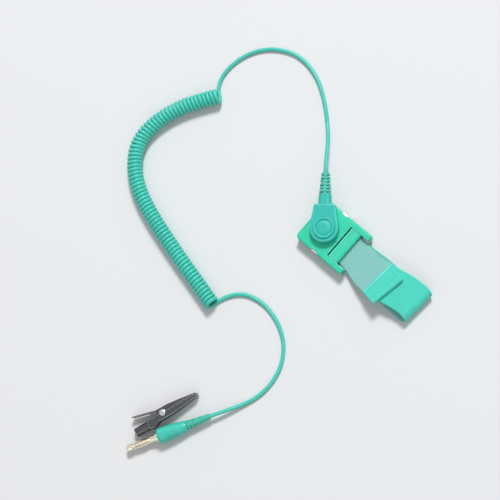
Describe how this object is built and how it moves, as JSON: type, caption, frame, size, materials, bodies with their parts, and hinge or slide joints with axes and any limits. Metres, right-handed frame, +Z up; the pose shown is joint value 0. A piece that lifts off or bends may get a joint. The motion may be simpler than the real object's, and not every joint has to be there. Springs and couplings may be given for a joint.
{
  "type": "esd wrist strap",
  "caption": "Elastic antistatic wristband with a lever-lock buckle and a press-stud coiled ground cord ending in a banana plug, with a crocodile clip that fits the plug.",
  "frame": {"origin": "on the plane that the strap lies on, under the axis of the buckle's snap stud", "axes": "+X along the band, from the buckle to the open end of the loop; +Z up, away from the plane that the strap lies on"},
  "size_m": [0.1917, 0.2313, 0.0137],
  "materials": {
    "mint_plastic": "moulded, satin",
    "teal_plastic": "moulded, satin",
    "teal_vinyl": "soft, satin",
    "coil_vinyl": "soft, glossy",
    "elastic_fabric": "woven elastic",
    "plate_steel": "bright",
    "pin_steel": "drawn",
    "spring_steel": "bright",
    "snap_nickel": "nickel plated",
    "plug_nickel": "nickel plated",
    "contact_brass": "bare",
    "resistor_coat": "coated",
    "clip_steel": "plated sheet"
  },
  "bodies": {
    "wristband": {"buckle_frame": "mint_plastic", "back_plate": "plate_steel", "snap_stud": "snap_nickel", "stud_rivet": "snap_nickel", "wrap_bar": "pin_steel", "lever_pin": "pin_steel", "band": "elastic_fabric"},
    "lever": {"lock_lever": "mint_plastic"},
    "snap_ring": {"snap_spring": "spring_steel"},
    "cord_set": {"snap_socket": "snap_nickel", "contact_tab": "contact_brass", "limit_resistor": "resistor_coat", "resistor_crimp": "contact_brass", "connector_shell": "teal_plastic", "connector_cap": "teal_plastic", "connector_relief": "teal_vinyl", "connector_wire": "teal_vinyl", "lead_connector": "teal_vinyl", "cord_coil": "coil_vinyl", "lead_plug": "teal_vinyl", "plug_relief": "teal_vinyl", "plug_wire": "teal_vinyl", "plug_crimp": "contact_brass", "plug_body": "teal_plastic", "plug_core": "plug_nickel", "plug_spring": "spring_steel"},
    "clip": {"clip_base": "clip_steel", "clip_pivot": "pin_steel", "clip_spring": "spring_steel"},
    "jaw": {"clip_jaw": "clip_steel"}
  },
  "joints": [
    {"name": "lever_hinge", "type": "hinge", "parent": "wristband", "child": "lever", "pos_m": [0.01633, 0, 0.006], "axis": [0, 1, 0], "range_deg": [0, 105]},
    {"name": "snap_lift", "type": "slide", "parent": "wristband", "child": "snap_ring", "axis": [0, 0, 1], "range_m": [0, 0.012], "deforming": ["snap_spring"]},
    {"name": "cord_swivel", "type": "hinge", "parent": "snap_ring", "child": "cord_set", "pos_m": [0, 0, 0.009], "axis": [0, 0, 1], "range_deg": [-60, 55]},
    {"name": "clip_lift", "type": "slide", "parent": "cord_set", "child": "clip", "axis": [0, 0, 1], "range_m": [0, 0.05]},
    {"name": "clip_hinge", "type": "hinge", "parent": "clip", "child": "jaw", "pos_m": [-0.0024, -0.136, 0.00365], "axis": [0, 0, 1], "range_deg": [0, 16], "stiffness_Nm_per_rad": 0.1, "springref_deg": -34.38, "deforming": ["clip_spring"]}
  ]
}
